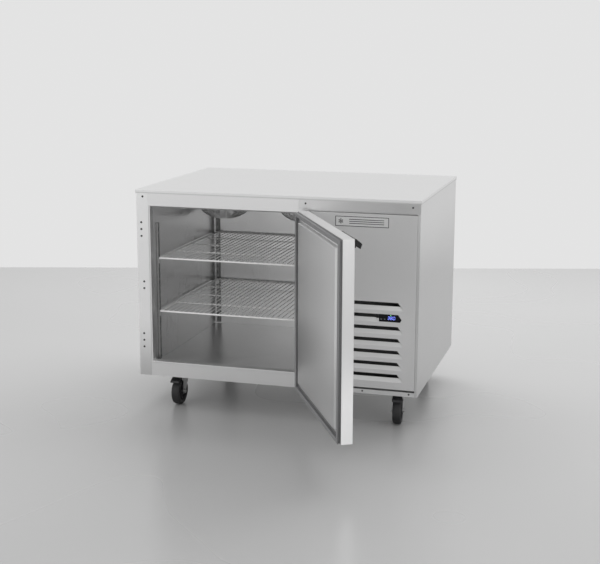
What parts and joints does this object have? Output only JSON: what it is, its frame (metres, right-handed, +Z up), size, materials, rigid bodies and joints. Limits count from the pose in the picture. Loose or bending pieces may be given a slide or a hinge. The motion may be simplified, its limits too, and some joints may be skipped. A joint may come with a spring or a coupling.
{
  "type": "undercounter refrigerator",
  "caption": "Stainless undercounter refrigerator with a hinged door, wire shelves, a louvred machine compartment at the side and swivel casters.",
  "frame": {"origin": "floor level, in the middle of the whole footprint with the door open at its stop", "axes": "+Z up; the cabinet front and the open door face -Y; +X is to the right as seen from the front"},
  "size_m": [1.058, 1.3522, 0.826],
  "materials": {
    "stainless": "satin",
    "stainless_inner": "satin",
    "galvanised": "matte",
    "shelf_wire": "satin",
    "guard_wire": "satin",
    "foam": "matte",
    "fin_aluminium": "satin",
    "motor_steel": "satin",
    "copper": "satin",
    "blade_plastic": "matte",
    "gasket": "matte",
    "black_plastic": "matte",
    "hinge_metal": "satin",
    "screw_steel": "satin",
    "badge": "satin",
    "display_glass": "gloss",
    "key_plastic": "gloss",
    "mount_rubber": "matte",
    "caster_steel": "satin",
    "caster_wheel": "matte"
  },
  "bodies": {
    "cabinet": {"worktop": "stainless", "side_panel_left": "stainless", "side_panel_right": "stainless", "back_panel": "galvanised", "bottom_panel": "galvanised", "door_header": "stainless", "partition_panel": "stainless", "breaker_strip": "stainless_inner", "liner_shell": "stainless_inner", "insulation_foam": "foam", "shelf_pilasters": "galvanised", "shelf_clips": "galvanised", "evaporator_cover": "galvanised", "evaporator_coil": "fin_aluminium", "evaporator_fan_motors": "motor_steel", "evaporator_fan_guards": "guard_wire", "drain_tube": "black_plastic", "hinge_brackets": "hinge_metal", "hinge_pins": "hinge_metal", "fascia_strip": "stainless", "face_screws": "screw_steel", "hole_plugs": "black_plastic", "louvre_panel": "stainless", "badge_plate": "badge", "controller_lens": "display_glass", "controller_housing": "black_plastic", "unit_base": "galvanised", "compressor": "motor_steel", "compressor_mounts": "mount_rubber", "condenser_coil": "fin_aluminium", "fan_shroud": "galvanised", "condenser_fan_motor": "motor_steel", "refrigerant_lines": "copper", "cable_gland": "black_plastic", "caster_plates": "caster_steel", "caster_bolts": "screw_steel"},
    "door": {"door_skin": "stainless", "door_foam": "foam", "door_liner": "stainless_inner", "door_gasket": "gasket", "door_handle": "black_plastic", "hinge_leaves": "hinge_metal", "leaf_screws": "screw_steel"},
    "condenser_fan": {"condenser_fan": "blade_plastic"},
    "evaporator_fan_left": {"evaporator_fan_left": "blade_plastic"},
    "evaporator_fan_right": {"evaporator_fan_right": "blade_plastic"},
    "shelf_upper": {"shelf_upper": "shelf_wire"},
    "shelf_lower": {"shelf_lower": "shelf_wire"},
    "button_set": {"button_set": "key_plastic"},
    "button_down": {"button_down": "key_plastic"},
    "caster_front_left": {"fork_front_left": "caster_steel"},
    "wheel_front_left": {"wheel_front_left": "caster_wheel"},
    "brake_front_left": {"brake_pedal_front_left": "black_plastic"},
    "caster_front_right": {"fork_front_right": "caster_steel"},
    "wheel_front_right": {"wheel_front_right": "caster_wheel"},
    "brake_front_right": {"brake_pedal_front_right": "black_plastic"},
    "caster_back_left": {"fork_back_left": "caster_steel"},
    "wheel_back_left": {"wheel_back_left": "caster_wheel"},
    "caster_back_right": {"fork_back_right": "caster_steel"},
    "wheel_back_right": {"wheel_back_right": "caster_wheel"}
  },
  "joints": [
    {"name": "door_hinge", "type": "hinge", "parent": "cabinet", "child": "door", "pos_m": [0.115, -0.12992, 0.477], "axis": [0, 0, 1], "range_deg": [-119, 0]},
    {"name": "condenser_fan_spin", "type": "hinge", "parent": "cabinet", "child": "condenser_fan", "pos_m": [0.323, 0.05308, 0.309], "axis": [0, 1, 0], "continuous": true},
    {"name": "evaporator_fan_left_spin", "type": "hinge", "parent": "cabinet", "child": "evaporator_fan_left", "pos_m": [-0.36, 0.39008, 0.716], "axis": [0, 0, 1], "continuous": true},
    {"name": "evaporator_fan_right_spin", "type": "hinge", "parent": "cabinet", "child": "evaporator_fan_right", "pos_m": [-0.025, 0.39008, 0.716], "axis": [0, 0, 1], "continuous": true},
    {"name": "shelf_upper_lift", "type": "slide", "parent": "cabinet", "child": "shelf_upper", "axis": [0, 0, 1], "range_m": [0, 0.012]},
    {"name": "shelf_lower_lift", "type": "slide", "parent": "cabinet", "child": "shelf_lower", "axis": [0, 0, 1], "range_m": [0, 0.012]},
    {"name": "button_set_press", "type": "slide", "parent": "cabinet", "child": "button_set", "axis": [0, 1, 0], "range_m": [0, 0.001], "stiffness_N_per_m": 600},
    {"name": "button_down_press", "type": "slide", "parent": "cabinet", "child": "button_down", "axis": [0, 1, 0], "range_m": [0, 0.001], "stiffness_N_per_m": 600},
    {"name": "swivel_front_left", "type": "hinge", "parent": "cabinet", "child": "caster_front_left", "pos_m": [-0.402, 0.01208, 0.113], "axis": [0, 0, 1], "continuous": true},
    {"name": "spin_front_left", "type": "hinge", "parent": "caster_front_left", "child": "wheel_front_left", "pos_m": [-0.402, -0.01992, 0.05], "axis": [1, 0, 0], "continuous": true},
    {"name": "brake_front_left_press", "type": "hinge", "parent": "caster_front_left", "child": "brake_front_left", "pos_m": [-0.402, -0.03292, 0.105], "axis": [1, 0, 0], "range_deg": [0, 8]},
    {"name": "swivel_front_right", "type": "hinge", "parent": "cabinet", "child": "caster_front_right", "pos_m": [0.44, 0.01208, 0.113], "axis": [0, 0, 1], "continuous": true},
    {"name": "spin_front_right", "type": "hinge", "parent": "caster_front_right", "child": "wheel_front_right", "pos_m": [0.44334, -0.01974, 0.05], "axis": [0.9945, 0.1045, 0], "continuous": true},
    {"name": "brake_front_right_press", "type": "hinge", "parent": "caster_front_right", "child": "brake_front_right", "pos_m": [0.4447, -0.03267, 0.105], "axis": [0.9945, 0.1045, 0], "range_deg": [0, 8]},
    {"name": "swivel_back_left", "type": "hinge", "parent": "cabinet", "child": "caster_back_left", "pos_m": [-0.402, 0.54008, 0.113], "axis": [0, 0, 1], "continuous": true},
    {"name": "spin_back_left", "type": "hinge", "parent": "caster_back_left", "child": "wheel_back_left", "pos_m": [-0.402, 0.57208, 0.05], "axis": [-1, 0, 0], "continuous": true},
    {"name": "swivel_back_right", "type": "hinge", "parent": "cabinet", "child": "caster_back_right", "pos_m": [0.44, 0.54008, 0.113], "axis": [0, 0, 1], "continuous": true},
    {"name": "spin_back_right", "type": "hinge", "parent": "caster_back_right", "child": "wheel_back_right", "pos_m": [0.42906, 0.57015, 0.05], "axis": [-0.9397, -0.342, 0], "continuous": true}
  ]
}
